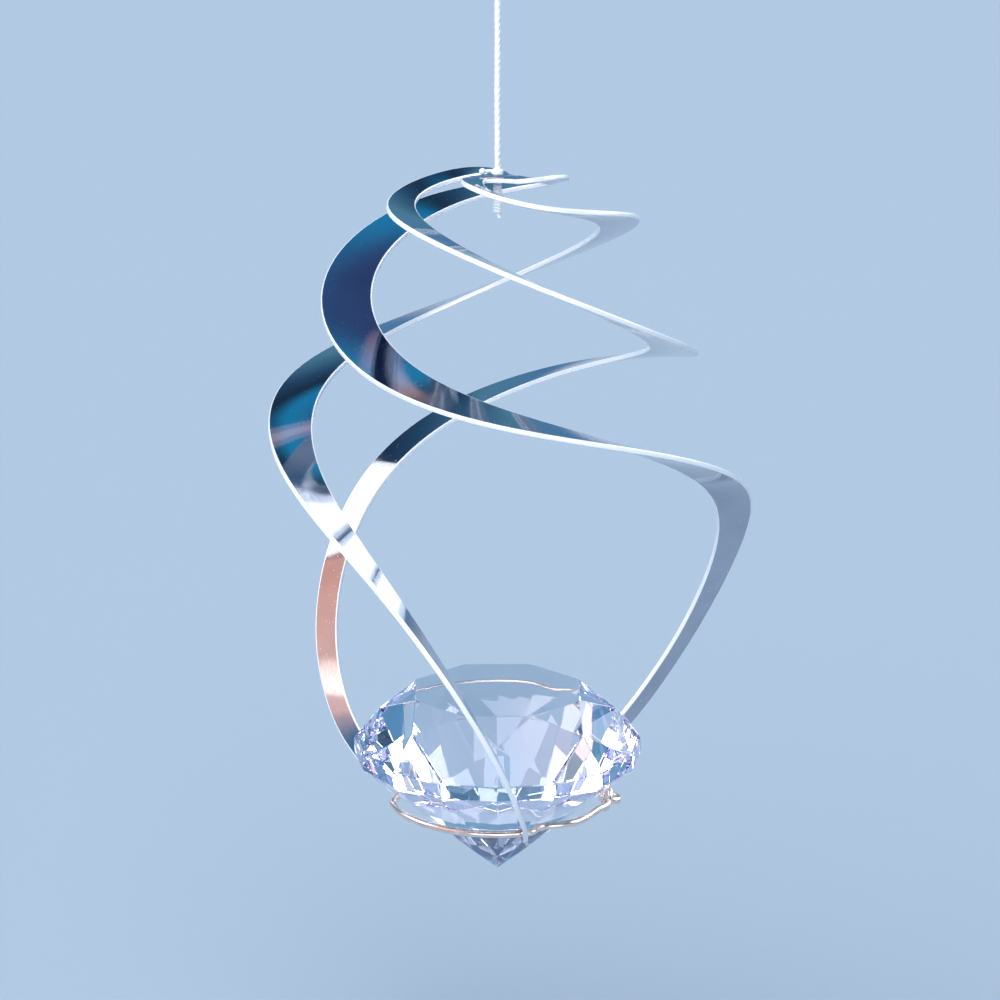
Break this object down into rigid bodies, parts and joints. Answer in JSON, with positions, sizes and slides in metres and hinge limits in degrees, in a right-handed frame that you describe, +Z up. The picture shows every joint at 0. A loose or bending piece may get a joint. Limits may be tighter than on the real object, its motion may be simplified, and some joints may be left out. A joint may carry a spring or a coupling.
{
  "type": "hanging spiral suncatcher",
  "caption": "Hanging steel spiral whose curled strips end on a round wire cradle that carries a brilliant-cut glass crystal, hung from a short white cord with a loop.",
  "frame": {"origin": "top inside of the cord's hanging loop, where a hook carries it", "axes": "+Z up along the cord and the spiral's axis; -Y towards the front, where one strip's end crosses the crystal"},
  "size_m": [0.098, 0.0988, 0.2056],
  "materials": {
    "steel_sheet": "mirror-polished stainless steel",
    "steel_wire": "polished stainless wire",
    "crystal_glass": "polished faceted crystal glass",
    "cord": "white braided cord"
  },
  "bodies": {
    "hanger": {"cord_loop": "cord"},
    "knot": {"top_knot": "cord"},
    "line": {"cord": "cord", "hub_knot_upper": "cord", "hub_knot_lower": "cord"},
    "spiral": {"hub_plate": "steel_sheet", "spiral_arm_1": "steel_sheet", "spiral_arm_2": "steel_sheet", "spiral_arm_3": "steel_sheet"},
    "cradle": {"cradle_wire": "steel_wire", "clasp_eye": "steel_wire", "clasp_hook": "steel_wire"},
    "stone": {"crystal": "crystal_glass"}
  },
  "joints": [
    {"name": "swing_front_back", "type": "hinge", "parent": "hanger", "child": "knot", "pos_m": [0, 0, -0.015], "axis": [1, 0, 0], "range_deg": [-30, 30]},
    {"name": "swing_side", "type": "hinge", "parent": "knot", "child": "line", "pos_m": [0, 0, -0.015], "axis": [0, 1, 0], "range_deg": [-30, 30]},
    {"name": "spin", "type": "hinge", "parent": "line", "child": "spiral", "pos_m": [0, 0, -0.057], "axis": [0, 0, 1], "continuous": true},
    {"name": "bounce", "type": "slide", "parent": "spiral", "child": "cradle", "axis": [0, 0, 1], "range_m": [-0.008, 0.005], "stiffness_N_per_m": 250, "springref_m": 0.0053, "deforming": ["spiral_arm_1", "spiral_arm_2", "spiral_arm_3"]},
    {"name": "crystal_lift", "type": "slide", "parent": "cradle", "child": "stone", "axis": [0, 0, 1], "range_m": [0, 0.02]}
  ]
}
